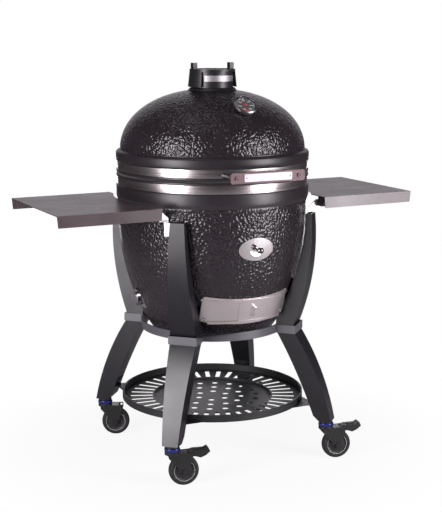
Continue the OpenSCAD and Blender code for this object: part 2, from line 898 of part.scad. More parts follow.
// Full solid of the dome's outer face, grown by g
module dome_core(g) {
    turned(concat(
        [[0, dome_mid_z]],
        [for (i = [0:profile_steps]) dome_point(dome_angle(seat_r, 0) * i / profile_steps, -g)],
        [[0, vent_seat_z + g]]
    ));
}
module thermometer_case() {
    color([0.8, 0.8, 0.82]) difference() {
        union() {
            difference() {
                dial_axis() rotate_extrude() polygon([
                    [0, -dome_reach],
                    [22, -dome_reach],
                    [22, -case_depth - 2],
                    [bezel_r - 6, -case_depth],
                    [bezel_r - 4, -11],
                    [bezel_r, -9],
                    [bezel_r, -3],
                    [bezel_r - 4, 0],
                    [bezel_r - 6, 0],
                    [bezel_r - 6, -8],
                    [0, -8]
                ]);
                dome_core(seat);
            }
            dial_axis() translate([0, 0, -stem_l]) cylinder(r = stem_r, h = stem_l - 20);
        }
    }
}
module dial_face() {
    color([0.1, 0.1, 0.1]) dial_axis() {
        translate([0, 0, -8]) cylinder(r = bezel_r - 6 - seat, h = 1.2);
        translate([0, 0, -7]) cylinder(r = 1.5, h = 3.4);
    }
}
module dial_glass() {
    color([0.85, 0.9, 0.92, 0.4]) dial_axis() translate([0, 0, -3])
        cylinder(r = bezel_r - 6 - seat, h = 1.8);
}
module needle() {
    reach = bezel_r - 15;
    color([0.85, 0.2, 0.15]) dial_axis() translate([0, 0, -5.6]) difference() {
        union() {
            cylinder(r = 4, h = 1.6);
            rotate([0, 0, 150]) translate([-8, 0, 0]) linear_extrude(0.9)
                polygon([[0, -1.6], [8, -1.4], [8 + reach, -0.4], [8 + reach, 0.4], [8, 1.4], [0, 1.6]]);
        }
        translate([0, 0, -weld]) cylinder(r = 1.5 + run, h = 4);
    }
}

module vent_drum() {
    window_z = vent_seat_z + 24;
    color([0.1, 0.1, 0.1]) difference() {
        translate([0, 0, seat]) turned([
            [smoke_r, vent_seat_z],
            [seat_r, vent_seat_z],
            [drum_r + 5, vent_seat_z + 9],
            [drum_r, vent_seat_z + 10],
            [drum_r, drum_top_z - seat],
            [drum_in_r, drum_top_z - seat],
            [drum_in_r, vent_seat_z + 12],
            [smoke_r, vent_seat_z + 12]
        ]);
        translate([-2 * drum_r, -26, window_z]) cube([4 * drum_r, 52, drum_h - 36]);
    }
}
module vent_cap() {
    skirt_z = vent_seat_z + 12.5;
    cap_r = drum_r + 6.5;
    lug = [16, 21];
    skirt_a = 36;
    color([0.1, 0.1, 0.1]) {
        difference() {
            translate([0, 0, cap_z]) cylinder(r = cap_r, h = cap_t);
            translate([0, 0, cap_z + cap_t - 2]) cylinder(r = cap_r - 16, h = 4);
        }
        difference() {
            translate([0, 0, cap_z - 6]) cylinder(r = drum_in_r - run, h = 6 + weld);
            translate([0, 0, cap_z - 7]) cylinder(r = drum_in_r - 6, h = 7);
        }
        for (a = [90, 270]) intersection() {
            turned([
                [drum_r + 3, skirt_z],
                [cap_r + 5.5, skirt_z],
                [cap_r, cap_z + 1],
                [drum_r + 3, cap_z + 1]
            ]);
            wedge(a - skirt_a, a + skirt_a, 0, 2 * drum_top_z);
        }
        for (x = [cap_r - lug.x, -cap_r + 1])
            translate([x, -lug.y / 2, cap_z + cap_t - weld]) cube([lug.x - 1, lug.y, lug_h + weld]);
    }
}

// Cart

// Side outline of an arm, drawn in radius and height and shrunk by g
module arm_outline(g, over) {
    intersection() {
        difference() {
            arc_disc(arm_out, -g);
            arc_disc(arm_in, g);
        }
        polygon([
            [waist_in + g, waist_at(waist_in) - over],
            [waist_out + 60, waist_at(waist_out + 60) - over],
            [waist_out + 60, arm_top_z + over],
            [waist_in + g, arm_top_z + over]
        ]);
    }
}
// Wedge of the arms' width, from the waist up to their tops
module arm_taper(g) {
    w0 = waist_w / 2 - g;
    w1 = arm_w_top / 2 - g;
    along(0, past) polygon([
        [-w0, waist_z - 60],
        [w0, waist_z - 60],
        [w0, waist_z],
        [w1, arm_top_z],
        [w1, arm_top_z + 20],
        [-w1, arm_top_z + 20],
        [-w1, arm_top_z],
        [-w0, waist_z]
    ]);
}
module arm(i) {
    color([0.3, 0.3, 0.33]) at_corner(i) difference() {
        intersection() {
            across(waist_w) arm_outline(0, 0);
            arm_taper(0);
        }
        intersection() {
            across(waist_w) arm_outline(sheet_t, 10);
            arm_taper(sheet_t);
        }
        collar_screw_place(1) screw_hole(14);
        tang_screw_places() screw_hole(14);
    }
}
// Side outline of a leg, drawn in radius and height and shrunk by g
module leg_outline(g, over, floor) {
    cut_r = arc_at(leg_in, foot_z);
    difference() {
        intersection() {
            difference() {
                arc_disc(leg_out, -g);
                arc_disc(leg_in, g);
            }
            polygon([
                [waist_in + g, waist_at(waist_in) + over],
                [waist_in + g, foot_z + floor],
                [foot_out + 60, foot_z + floor],
                [foot_out + 60, waist_at(waist_out) + over],
                [waist_out - g, waist_at(waist_out) + over]
            ]);
        }
        polygon([
            [cut_r - 40, foot_z - 10],
            [cut_r + foot_cut + g, foot_z - 10],
            [cut_r + foot_cut + g, foot_z],
            [cut_r - 12 + g, foot_z + 24],
            [cut_r - 40, foot_z + 24]
        ]);
    }
}
// Wedge of the legs' width, from their feet up to the waist
module leg_taper(g) {
    w0 = foot_w / 2 - g;
    w1 = waist_w / 2 - g;
    along(0, past) polygon([
        [-w0, foot_z],
        [w0, foot_z],
        [w1, waist_z],
        [w1, waist_z + 60],
        [-w1, waist_z + 60],
        [-w1, waist_z]
    ]);
}
module leg(i) {
    color([0.3, 0.3, 0.33]) at_corner(i) difference() {
        intersection() {
            across(waist_w) leg_outline(0, -seat, 0);
            leg_taper(0);
        }
        intersection() {
            across(waist_w) leg_outline(sheet_t, 20, foot_floor);
            leg_taper(sheet_t);
        }
        collar_screw_place(-1) screw_hole(20);
        tray_screw_place() screw_hole(14);
        translate([foot_r, 0, foot_z - 10]) cylinder(r = stud_r + seat, h = 40);
    }
}
// Place of a collar screw on the collar's inner face, up is 1 for the arm and -1 for the leg
module collar_screw_place(up) {
    aside = 20;
    z = waist_at(collar_in) + up * (collar_h / 2 - 8);
    translate([collar_in, up * aside, z]) rotate([0, -90, 0]) children();
}
module collar_block(in, out, half, h) {
    across(2 * half) polygon([
        [in, waist_at(in) - h / 2],
        [out, waist_at(out) - h / 2],
        [out, waist_at(out) + h / 2],
        [in, waist_at(in) + h / 2]
    ]);
}
module ring_belt() {
    color([0.33, 0.33, 0.36]) difference() {
        union() {
            translate([0, 0, ring_z]) difference() {
                cylinder(r = ring_r, h = ring_h);
                translate([0, 0, -weld]) cylinder(r = ring_r - ring_t, h = ring_h + 2 * weld);
            }
            for (i = [0:3]) at_corner(i) collar_block(collar_in, collar_out, collar_half, collar_h);
        }
        for (i = [0:3]) at_corner(i) {
            collar_block(
                collar_in + collar_t, collar_out - collar_t, collar_half - collar_t, 3 * collar_h
            );
            for (up = [-1, 1]) collar_screw_place(up) screw_hole(20);
        }
    }
}
module support_pads() {
    pad_w = 34;
    pad_h = 70;
    pad_z = arm_mid_z - 37;
    color([0.08, 0.08, 0.08]) for (i = [0:3]) at_corner(i) difference() {
        across(pad_w) intersection() {
            arc_disc(arm_in, -seat / 2);
            translate([0, pad_z]) square([past, pad_h]);
        }
        kettle_core(seat);
    }
}

tray_t = 2;
tray_floor_z = tray_z - tray_rim;
tray_flange_z = tray_floor_z + 15;
tray_lean = arc_lean(leg_in, tray_flange_z);
// Place on a leg's inner face where the tray is bolted, looking inwards
module tray_screw_place() {
    tray_face() translate([0, 0, tray_t + seat]) children();
}
module tray_face() {
    translate([arc_at(leg_in, tray_flange_z), 0, tray_flange_z])
        rotate([0, tray_lean - 90, 0]) children();
}
module bottom_tray() {
    disc_r = tray_r - 114;
    disc_drop = 6;
    wall = 5;
    slot_from = disc_r + 9;
    slot_l = 76;
    hole_r = 11;
    hole_pitch = 52;
    under = tray_floor_z - tray_t;
    leg_face = arc_at(leg_in, tray_floor_z);
    color([0.11, 0.11, 0.11]) difference() {
        union() {
            difference() {
                turned([
                    [0, tray_floor_z - disc_drop],
                    [disc_r, tray_floor_z - disc_drop],
                    [disc_r + 4, tray_floor_z],
                    [tray_r - wall, tray_floor_z],
                    [tray_r - wall, tray_z - 3],
                    [tray_r - 3, tray_z],
                    [tray_r, tray_z],
                    [tray_r, under],
                    [disc_r + 3, under],
                    [disc_r - 1, under - disc_drop],
                    [0, under - disc_drop]
                ]);
                for (i = [0:3]) at_corner(i) leg_side(waist_w, tray_t + screw_head_h + slip + seat);
            }
            for (i = [0:3]) at_corner(i) tray_ear(leg_face, under);
        }
        for (i = [0:tray_slots - 1]) rotate([0, 0, 360 / tray_slots * (i + 0.5)])
            translate([slot_from, -tray_slot_w / 2, under - 20]) cube([slot_l, tray_slot_w, 40]);
        for (ring = [1:3], i = [0:6 * ring - 1]) rotate([0, 0, 60 / ring * i])
            translate([hole_pitch * ring, 0, under - 20]) cylinder(r = hole_r, h = 40, $fn = 48);
        for (i = [0:3]) at_corner(i) tray_screw_place() screw_hole(14);
    }
}
// Flared ear from the tray's rim to a leg, with its flange turned up on the leg
module tray_ear(leg_face, under) {
    flange_half = 23;
    root_half = 72;
    difference() {
        union() {
            translate([0, 0, under]) linear_extrude(tray_t) polygon([
                [tray_r - 12, -root_half],
                [leg_face - 10, -flange_half],
                [leg_face + 12, -flange_half],
                [leg_face + 12, flange_half],
                [leg_face - 10, flange_half],
                [tray_r - 12, root_half]
            ]);
            tray_face() translate([-20, -flange_half, seat]) cube([35, 2 * flange_half, tray_t]);
        }
        leg_side(past, seat);
        cylinder(r = min(tray_r - 4, leg_face - 14), h = tray_floor_z);
    }
}
// Everything outwards of a leg's inner face, as wide as w and standing off by g
module leg_side(w, g) {
    across(w) difference() {
        translate([0, foot_z]) square([past, waist_z - foot_z]);
        arc_disc(leg_in, -g);
    }
}
module frame_screws() {
    color([0.6, 0.6, 0.61]) {
        for (i = [0:3]) at_corner(i) {
            for (up = [-1, 1]) collar_screw_place(up) screw(collar_t + 8);
            tray_screw_place() screw(tray_t + sheet_t + 3);
            tang_screw_places() screw(tang_t + sheet_t + 3);
        }
        hinge_screw_places(low_band_z) screw(bracket_t + band_t);
        draft_screw_places() screw(draft_t + 2.5);
    }
}

// Side shelves and their brackets

// Inner face of an arm at its top, looking towards the kettle
module tang_face() {
    translate([arc_at(arm_in, tang_z), 0, tang_z]) rotate([0, tang_lean - 90, 0]) children();
}
module tang_screw_places() {
    for (s = [-1, 1]) tang_face() translate([s * 12, 0, tang_t + seat]) children();
}
// Bracket of one corner: tang on the arm, ear beside the shelf and pin
module shelf_bracket(i) {
    sx = (i == 1 || i == 2) ? 1 : -1;
    sy = i < 2 ? -1 : 1;
    side = (i == 0 || i == 2) ? -1 : 1;
    tang_out = arm_w_top / 2 + 26;
    tang_back = arm_w_top / 2 - 6;
    pin_l = sy < 0 ? block_front - ear_y : ear_y - block_back + 2;
    difference() {
        union() {
            at_corner(i) tang_face() translate([-22, side > 0 ? -tang_back : -tang_out, seat])
                cube([44, tang_out + tang_back, tang_t]);
            translate([0, sy > 0 ? ear_y + ear_t : -ear_y, 0]) rotate([90, 0, 0]) linear_extrude(ear_t)
                polygon([for (p = ear_outline) [sx * p.x, p.y]]);
            translate([sx * pivot_x, sy > 0 ? ear_y + weld : -ear_y, fold_z]) rotate([90, 0, 0])
                cylinder(r = fold_pin_r, h = pin_l);
        }
        at_corner(i) tang_screw_places() screw_hole(14);
        at_corner(i) across(past) difference() {
            translate([0, waist_z]) square([past, arm_top_z - waist_z + seat]);
            arc_disc(arm_in, -seat / 2);
        }
    }
}
ear_x = arm_xy + 22.9;
ear_outline = [
    [ear_x, arm_top_z - 16],
    [ear_x, fold_z - 13],
    [fold_in - 7, fold_z + 13],
    [fold_out - 1, fold_z + 13],
    [fold_out - 1, fold_z - 11],
    [fold_in, fold_z - 15],
    [ear_x + 14, arm_top_z - 16]
];
module shelf_brackets() {
    color([0.82, 0.82, 0.83]) for (i = [0:3]) shelf_bracket(i);
}
// Right shelf, the left one is its mirror image
module shelf() {
    lip_t = 2.5;
    slant = 4;
    block_z = fold_z - 10;
    difference() {
        union() {
            translate([0, 0, sheet_z]) linear_extrude(shelf_z - sheet_z) difference() {
                translate([edge_in, -edge_front])
                    square([shelf_x - edge_in, edge_front + edge_back]);
                circle(rim_r + shelf_gap, $fn = 180);
            }
            for (y = [-edge_front, edge_back - lip_t])
                translate([0, y + lip_t, 0]) rotate([90, 0, 0]) linear_extrude(lip_t) polygon([
                    [edge_in, shelf_z],
                    [edge_in + slant, shelf_z - shelf_lip],
                    [shelf_x - slant, shelf_z - shelf_lip],
                    [shelf_x, shelf_z]
                ]);
            for (end = [[-block_front, -ear_y - ear_t - slip], [block_back, edge_back - weld]])
                translate([fold_in, end[0], block_z])
                    cube([2 * fold_half, end[1] - end[0], sheet_z + weld - block_z]);
        }
        translate([pivot_x, edge_back + weld, fold_z]) rotate([90, 0, 0])
            cylinder(r = fold_pin_r + run, h = edge_back + block_front + 3 * weld);
        cylinder(r = rim_r + shelf_gap, h = past, $fn = 180);
    }
}
module right_shelf() {
    color([0.27, 0.22, 0.22]) shelf();
}
module left_shelf() {
    color([0.27, 0.22, 0.22]) mirror([1, 0, 0]) shelf();
}

// Casters, each drawn about its swivel axis with the wheel trailing along +X

stud_r = 6;
stem_neck_r = 9;
axle_r = 5;
fork_in = wheel_w / 2 + 2;
fork_t = 4;
fork_half = fork_in + fork_t;
pedal_x = trail + 20;
pedal_z = crown_z - 1;
module at_caster(i) {
    yaw = i < 2 ? caster_yaw : rear_yaw;
    at_corner(i) translate([foot_r, 0, 0]) rotate([0, 0, yaw - corner_az[i]]) children();
}
module caster_stems() {
    color([0.2, 0.2, 0.2]) for (i = [0:3]) at_caster(i) {
        translate([0, 0, foot_z - flange_h]) cylinder(r = 23, h = flange_h);
        translate([0, 0, crown_z - 4])
            cylinder(r = stem_neck_r, h = foot_z - flange_h + weld - crown_z + 4);
        translate([0, 0, crown_z - 5.5]) cylinder(r = 13, h = 5);
        translate([0, 0, foot_z - weld]) cylinder(r = stud_r, h = foot_floor + 14 + weld);
        translate([0, 0, foot_z + foot_floor]) cylinder(r = 10, h = 9);
    }
}
module swivel_rings() {
    color([0.1, 0.15, 0.55]) for (i = [0:3]) at_caster(i) translate([0, 0, race_z]) difference() {
        cylinder(r = 26, h = race_h);
        translate([0, 0, -weld]) cylinder(r = stem_neck_r + seat, h = race_h + 2 * weld);
    }
}
module fork(i) {
    nose = trail + 27;
    color([0.1, 0.1, 0.1]) at_caster(i) {
        difference() {
            union() {
                translate([0, 0, crown_z]) cylinder(r = 25, h = crown_h);
                translate([-14, -fork_half, crown_z]) cube([trail + 26, 2 * fork_half, 6]);
                for (y = [fork_half, -fork_in])
                    translate([0, y, 0]) rotate([90, 0, 0]) linear_extrude(fork_t) {
                        polygon([
                            [-16, crown_z + 6],
                            [-16, crown_z - 8],
                            [trail - 11, wheel_r],
                            [trail + 11, wheel_r],
                            [nose, crown_z - 10],
                            [nose, crown_z + 6]
                        ]);
                        translate([trail, wheel_r]) circle(12);
                    }
            }
            translate([0, 0, crown_z - 20]) cylinder(r = stem_neck_r + run, h = 60);
            translate([trail, 100, wheel_r]) rotate([90, 0, 0]) cylinder(r = axle_r + run, h = 200);
            translate([pedal_x, 100, pedal_z]) rotate([90, 0, 0]) cylinder(r = 4 + run, h = 200);
        }
        translate([trail, fork_half + seat, wheel_r]) rotate([90, 0, 0]) {
            cylinder(r = axle_r, h = 2 * fork_half + 2 * seat);
            for (z = [-4, 2 * fork_half + 2 * seat]) translate([0, 0, z]) cylinder(r = 8, h = 4);
        }
    }
}
module hub(i) {
    hub_r = wheel_r - 13;
    color([0.13, 0.12, 0.13]) at_caster(i) difference() {
        translate([trail, wheel_w / 2 - 2, wheel_r]) rotate([90, 0, 0]) {
            cylinder(r = hub_r, h = wheel_w - 4);
            translate([0, 0, -3]) cylinder(r = 14, h = wheel_w + 2);
        }
        translate([trail, wheel_w, wheel_r]) rotate([90, 0, 0])
            cylinder(r = axle_r + run, h = 2 * wheel_w);
    }
}
module tyre(i) {
    hub_r = wheel_r - 13;
    color([0.07, 0.07, 0.07]) at_caster(i) translate([trail, 0, wheel_r]) rotate([90, 0, 0]) turned([
        [hub_r + run, -wheel_w / 2],
        [wheel_r - 5, -wheel_w / 2],
        [wheel_r - 1, -wheel_w / 2 + 5],
        [wheel_r, -wheel_w / 2 + 10],
        [wheel_r, wheel_w / 2 - 10],
        [wheel_r - 1, wheel_w / 2 - 5],
        [wheel_r - 5, wheel_w / 2],
        [hub_r + run, wheel_w / 2]
    ]);
}
module pedal(i) {
    half = fork_in - 1;
    color([0.09, 0.09, 0.09]) at_caster(i) {
        translate([0, half, 0]) rotate([90, 0, 0]) linear_extrude(2 * half) polygon([
            [pedal_x - 5, crown_z - 6],
            [pedal_x - 5, crown_z + 7],
            [pedal_x + 12, crown_z + 11],
            [pedal_x + 48, crown_z + 11],
            [pedal_x + 60, crown_z + 17],
            [pedal_x + 66, crown_z + 4],
            [pedal_x + 52, crown_z - 8],
            [pedal_x + 34, crown_z - 15],
            [pedal_x + 16, crown_z - 9],
            [pedal_x + 2, crown_z - 9]
        ]);
        translate([pedal_x, fork_half, pedal_z]) rotate([90, 0, 0]) cylinder(r = 4, h = 2 * fork_half);
    }
}

base_shell();
lower_band();
lower_gasket();
fire_box();
fire_ring();
charcoal_grate();
cooking_grate();
draft_frame();
draft_door();
feed_cover();
port_collar();
port_plug();
hinge_lower_bracket();
hinge_pin();
hinge_spring_case();
dome_shell();
upper_band();
upper_gasket();
handle_bar();
handle_posts();
label_plates();
hinge_upper_bracket();
lid_screws();
thermometer_case();
dial_face();
dial_glass();
needle();
vent_drum();
vent_cap();
ring_belt();
support_pads();
bottom_tray();
frame_screws();
shelf_brackets();
left_shelf();
right_shelf();
caster_stems();
swivel_rings();
for (i = [0:3]) {
    arm(i);
    leg(i);
    fork(i);
    hub(i);
    tyre(i);
}
for (i = [0:1]) {
    pedal(i);
}
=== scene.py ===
import json
import math

import bpy
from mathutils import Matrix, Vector


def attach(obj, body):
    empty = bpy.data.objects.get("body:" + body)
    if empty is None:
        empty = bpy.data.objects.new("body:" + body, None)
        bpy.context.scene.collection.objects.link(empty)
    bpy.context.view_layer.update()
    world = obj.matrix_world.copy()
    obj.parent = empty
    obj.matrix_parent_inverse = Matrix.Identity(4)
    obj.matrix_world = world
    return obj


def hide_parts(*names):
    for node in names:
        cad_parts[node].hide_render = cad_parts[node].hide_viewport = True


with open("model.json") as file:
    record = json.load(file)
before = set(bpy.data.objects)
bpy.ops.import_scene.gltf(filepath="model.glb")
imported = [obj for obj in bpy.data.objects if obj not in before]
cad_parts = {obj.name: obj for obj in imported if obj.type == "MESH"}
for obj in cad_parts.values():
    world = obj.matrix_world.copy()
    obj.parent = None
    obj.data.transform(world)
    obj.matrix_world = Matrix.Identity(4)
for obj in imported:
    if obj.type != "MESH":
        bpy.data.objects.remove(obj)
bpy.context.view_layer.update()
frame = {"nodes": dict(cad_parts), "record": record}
nodes = frame["nodes"]
bodies = frame["record"]["behaviour"]["bodies"]
body_of = {n: b for b, members in bodies.items() for n in members}
slot_of = {s["node"]: s["material_slot"] for s in frame["record"]["subparts"]}
joint_of = {j["name"]: j for j in frame["record"]["behaviour"]["joints"]}
corners = ("front_left", "front_right", "rear_right", "rear_left")
braked_corners = corners[:2]

# Camera of the photograph, in radians, metres, millimetres and pixels
camera_turn = math.radians(26.61)
camera_pitch = math.radians(10.68)
camera_away = 4.22328
camera_z = 1.48545
sensor_mm = 36
image_px = 512
focal_px = 1234.2
shift_px = 8.67

# Sizes of the grill that the new pieces share with the solids, in metres
rim_r = 0.330
lip_r = 0.329
groove_r = 0.324
band_r = 0.326
band_h = 0.028
low_band_z = 0.9485
up_band_z = 0.9995
base_r = 0.326
base_mid_z = 0.870
base_depth = 0.550
kettle_bottom_z = 0.434
ceramic_wall = 0.024
dome_r = 0.316
dome_mid_z = 1.060
dome_rise = 0.208
dome_power = 2.15
dome_rim_h = 0.034
base_rim_h = 0.040
vent_seat_r = 0.084
smoke_r = 0.052
seam_z = 0.988
seam_to_ceramic = 0.0032
seam_to_felt = 0.0002
gasket_in_r = 0.304
gasket_out_r = 0.326
gasket_t = 0.003
feed_bore_r = 0.0235
feed_z = 0.765
port_bore_r = 0.0165
port_z = 0.566
window_low_z = 0.530
window_high_z = 0.572
window_span = 32
window_middle = 10.5
knob_from_y = -0.3270
knob_full_y = -0.3285
handle_face_y = -0.3964
handle_z = 1.0095
label_pin_x = 0.078
dial_place = Vector(joint_of["needle_turn"]["pos_m"])
dial_tilt = math.radians(40)
dial_marks_z = -0.0067
dial_arc_z = -0.0069
dial_mark_t = 0.0002

# Fineness of the meshes
merge_gap = 1e-6
kettle_steps = 224


# Camera, floor and light

def set_camera():
    data = bpy.data.cameras.new("camera")
    camera = bpy.data.objects.new("camera", data)
    bpy.context.scene.collection.objects.link(camera)
    x = -math.sin(camera_turn) * camera_away
    y = -math.cos(camera_turn) * camera_away
    camera.location = (x, y, camera_z)
    camera.rotation_euler = (math.pi / 2 - camera_pitch, 0, -camera_turn)
    data.sensor_width = sensor_mm
    data.lens = focal_px * sensor_mm / image_px
    data.shift_x = shift_px / image_px
    data.clip_end = 60
    bpy.context.scene.camera = camera


def set_floor():
    """Pale floor that keeps a soft shadow under the grill and fades to white around it."""
    fade_from = 0.40
    fade_to = 1.05
    seen_pale = (0.92, 0.92, 0.92)
    mirrored_grey = (0.46, 0.45, 0.46)
    bpy.ops.object.select_all(action="DESELECT")
    bpy.ops.mesh.primitive_plane_add(size=40, location=(0, 0, 0))
    floor = bpy.context.object
    floor.name = "floor"
    mat = bpy.data.materials.new("pale_floor")
    mat.use_nodes = True
    tree = mat.node_tree
    tree.nodes.clear()
    out = tree.nodes.new("ShaderNodeOutputMaterial")
    mix = tree.nodes.new("ShaderNodeMixShader")
    matt = tree.nodes.new("ShaderNodeBsdfDiffuse")
    white = tree.nodes.new("ShaderNodeEmission")
    path = tree.nodes.new("ShaderNodeLightPath")
    coords = tree.nodes.new("ShaderNodeTexCoord")
    away = tree.nodes.new("ShaderNodeVectorMath")
    away.operation = "LENGTH"
    tree.links.new(coords.outputs["Object"], away.inputs[0])
    share = ranged(tree, away.outputs["Value"], fade_from, fade_to, 0.90, 1.0, soft=True)
    share = math_of(tree, "MULTIPLY", share, path.outputs["Is Camera Ray"])
    tint = blended(tree, path.outputs["Is Camera Ray"], mirrored_grey, seen_pale)
    tree.links.new(tint, matt.inputs["Color"])
    white.inputs["Strength"].default_value = 1.0
    tree.links.new(share, mix.inputs["Fac"])
    tree.links.new(matt.outputs[0], mix.inputs[1])
    tree.links.new(white.outputs[0], mix.inputs[2])
    tree.links.new(mix.outputs[0], out.inputs["Surface"])
    floor.data.materials.append(mat)


def set_world():
    """Dark room with a lighter backdrop behind the grill, which the camera sees as white."""
    backdrop_direction = (0.437, 0.873, 0.215)
    backdrop_from = 0.84
    backdrop_full = 0.97
    room_colour = (0.052, 0.046, 0.052)
    backdrop_colour = (0.60, 0.57, 0.61)
    world = bpy.data.worlds.new("studio")
    bpy.context.scene.world = world
    world.use_nodes = True
    tree = world.node_tree
    tree.nodes.clear()
    out = tree.nodes.new("ShaderNodeOutputWorld")
    seen = tree.nodes.new("ShaderNodeBackground")
    room = tree.nodes.new("ShaderNodeBackground")
    mix = tree.nodes.new("ShaderNodeMixShader")
    path = tree.nodes.new("ShaderNodeLightPath")
    coords = tree.nodes.new("ShaderNodeTexCoord")
    facing = tree.nodes.new("ShaderNodeVectorMath")
    facing.operation = "DOT_PRODUCT"
    facing.inputs[1].default_value = backdrop_direction
    seen.inputs["Color"].default_value = (1, 1, 1, 1)
    tree.links.new(coords.outputs["Generated"], facing.inputs[0])
    behind = ranged(tree, facing.outputs["Value"], backdrop_from, backdrop_full, soft=True)
    tree.links.new(blended(tree, behind, room_colour, backdrop_colour), room.inputs["Color"])
    by_eye = path.outputs["Is Camera Ray"]
    through_glass = path.outputs["Is Transmission Ray"]
    tree.links.new(math_of(tree, "MAXIMUM", by_eye, through_glass), mix.inputs["Fac"])
    tree.links.new(room.outputs[0], mix.inputs[1])
    tree.links.new(seen.outputs[0], mix.inputs[2])
    tree.links.new(mix.outputs[0], out.inputs["Surface"])


def add_softbox(name, azimuth, height, away, width, tall, watts, aim_z=0.75):
    """Flat lamp at an azimuth from the front, turned to a point on the grill's axis."""
    data = bpy.data.lights.new(name, "AREA")
    data.shape = "RECTANGLE"
    data.size = width
    data.size_y = tall
    data.energy = watts
    data.color = (1.0, 0.962, 1.0)
    lamp = bpy.data.objects.new(name, data)
    bpy.context.scene.collection.objects.link(lamp)
    a = math.radians(azimuth)
    lamp.location = (math.sin(a) * away, -math.cos(a) * away, height)
    aim = Vector((0, 0, aim_z)) - lamp.location
    lamp.rotation_euler = aim.to_track_quat("-Z", "Y").to_euler()


def set_lights():
    add_softbox("left_softbox", -70, height=1.30, away=3.2, width=1.30, tall=2.5, watts=112)
    add_softbox("right_softbox", 34, height=1.30, away=3.2, width=1.26, tall=2.5, watts=109)
    add_softbox("top_softbox", -100, height=4.0, away=0.8, width=1.5, tall=1.5, watts=7)
    add_softbox(
        "rear_softbox", 153, height=0.38, away=3.0, width=2.4, tall=0.66, watts=26, aim_z=0.60)


# Ways of working on a mesh

def alone(obj):
    bpy.ops.object.select_all(action="DESELECT")
    obj.select_set(True)
    bpy.context.view_layer.objects.active = obj


def start_edit(obj):
    alone(obj)
    bpy.ops.object.mode_set(mode="EDIT")
    bpy.ops.mesh.select_all(action="SELECT")


def end_edit():
    bpy.ops.object.mode_set(mode="OBJECT")


def smooth(obj, angle=32):
    alone(obj)
    bpy.ops.object.shade_smooth_by_angle(angle=math.radians(angle))


def round_edges(obj, width, segments=2, angle=38):
    alone(obj)
    bpy.ops.object.modifier_add(type="BEVEL")
    bevel = obj.modifiers[-1]
    bevel.width = width
    bevel.segments = segments
    bevel.limit_method = "ANGLE"
    bevel.angle_limit = math.radians(angle)
    bpy.ops.object.modifier_apply(modifier=bevel.name)


def flatten_shading(obj):
    """Lets the large faces of a piece set the shading beside its rounded edges."""
    alone(obj)
    bpy.ops.object.modifier_add(type="WEIGHTED_NORMAL")
    weighted = obj.modifiers[-1]
    weighted.keep_sharp = True
    weighted.weight = 90
    bpy.ops.object.modifier_apply(modifier=weighted.name)


def cut_away(obj, cutter):
    alone(obj)
    bpy.ops.object.modifier_add(type="BOOLEAN")
    cut = obj.modifiers[-1]
    cut.operation = "DIFFERENCE"
    cut.solver = "EXACT"
    cut.object = cutter
    bpy.ops.object.modifier_apply(modifier=cut.name)
    bpy.data.objects.remove(cutter)


def put(obj, place=(0, 0, 0), turn=(0, 0, 0)):
    """Moves a mesh to its place and leaves its object at the origin."""
    alone(obj)
    obj.location = place
    obj.rotation_euler = turn
    bpy.ops.object.transform_apply(location=True, rotation=True, scale=True)


def new_block(size):
    bpy.ops.object.select_all(action="DESELECT")
    bpy.ops.mesh.primitive_cube_add(size=1)
    block = bpy.context.object
    block.scale = size
    bpy.ops.object.transform_apply(location=False, rotation=False, scale=True)
    return block


def joined(name, pieces):
    alone(pieces[0])
    for piece in pieces:
        piece.select_set(True)
    bpy.ops.object.join()
    obj = bpy.context.object
    obj.name = name
    return obj


def bore(obj, radius, sides, place, turn):
    """Cuts a round hole through the wall of a piece."""
    bpy.ops.object.select_all(action="DESELECT")
    bpy.ops.mesh.primitive_cylinder_add(vertices=sides, radius=radius, depth=0.16)
    drill = bpy.context.object
    put(drill, place, turn)
    cut_away(obj, drill)


def eased(points, radius, closed=True, bends=3):
    """Rounds the sharp corners of a profile of radius and height."""
    shortest_side = 1e-7
    nearly_straight = math.radians(150)
    largest_share = 0.45
    made = []
    last = len(points) - 1
    for i, p in enumerate(points):
        p = Vector(p)
        before = Vector(points[i - 1]) - p
        after = Vector(points[(i + 1) % len(points)]) - p
        kept = not closed and i in (0, last)
        kept = kept or min(before.length, after.length) < shortest_side
        if kept or before.angle(after) > nearly_straight:
            made.append(p)
            continue
        cut = min(radius, largest_share * before.length, largest_share * after.length)
        start = p + before.normalized() * cut
        end = p + after.normalized() * cut
        for k in range(bends + 1):
            t = k / bends
            made.append(start * (1 - t) ** 2 + p * (2 * t * (1 - t)) + end * t ** 2)
    return made


def turned(name, points, steps, closed=True, angle=360):
    """Draws a profile by extruding one vertex, and spins it round the Z axis."""
    bpy.ops.object.select_all(action="DESELECT")
    bpy.ops.mesh.primitive_plane_add(size=0.001, location=(0, 0, 0))
    obj = bpy.context.object
    obj.name = name
    start_edit(obj)
    bpy.ops.mesh.merge(type="CENTER")
    line = [Vector((p[0], 0, p[1])) for p in points]
    if closed:
        line.append(line[0])
    bpy.ops.transform.translate(value=line[0])
    for a, b in zip(line, line[1:]):
        bpy.ops.mesh.extrude_region_move(TRANSFORM_OT_translate={"value": b - a})
    bpy.ops.mesh.select_all(action="SELECT")
    bpy.ops.mesh.remove_doubles(threshold=merge_gap)
    bpy.ops.mesh.spin(steps=steps, angle=math.radians(angle), center=(0, 0, 0), axis=(0, 0, 1))
    bpy.ops.mesh.select_all(action="SELECT")
    bpy.ops.mesh.remove_doubles(threshold=merge_gap)
    if angle < 360:
        bpy.ops.mesh.select_all(action="DESELECT")
        bpy.ops.mesh.select_non_manifold()
        bpy.ops.mesh.fill_holes(sides=0)
        bpy.ops.mesh.select_all(action="SELECT")
    bpy.ops.mesh.normals_make_consistent(inside=False)
    end_edit()
    return obj


